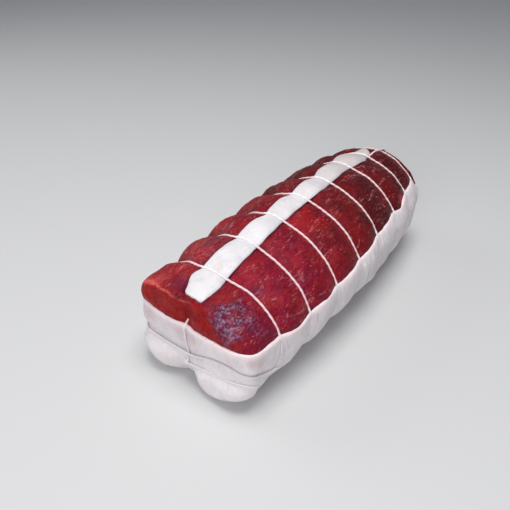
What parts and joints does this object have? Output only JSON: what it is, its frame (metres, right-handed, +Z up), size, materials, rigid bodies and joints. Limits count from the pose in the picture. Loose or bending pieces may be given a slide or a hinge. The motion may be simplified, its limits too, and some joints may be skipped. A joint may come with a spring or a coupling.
{
  "type": "roast beef joint",
  "caption": "Raw beef roasting joint: a long loaf of lean meat in a wrap of fat, with a fat strip along its crest, tied with girth, lengthwise and belt strings.",
  "frame": {"origin": "middle of the footprint, on the surface that the joint rests on", "axes": "+Z up, +Y along the joint from its front cut face to its narrower back end, +X to the right seen from the front"},
  "size_m": [0.1096, 0.2526, 0.092],
  "materials": {
    "meat": "raw lean beef, deep red, moist, with a soft sheen",
    "fat": "raw beef fat, off-white with a faint pink blush, waxy",
    "string": "twisted white cotton twine, matt"
  },
  "bodies": {
    "root": {"meat": "meat", "fat_wrap": "fat", "fat_strip": "fat", "hoop_string_1": "string", "hoop_string_2": "string", "hoop_string_3": "string", "hoop_string_4": "string", "hoop_string_5": "string", "hoop_string_6": "string", "hoop_string_7": "string", "hoop_string_8": "string", "lengthwise_string": "string", "front_belt_string": "string", "front_low_string": "string", "back_belt_string": "string"}
  },
  "joints": []
}
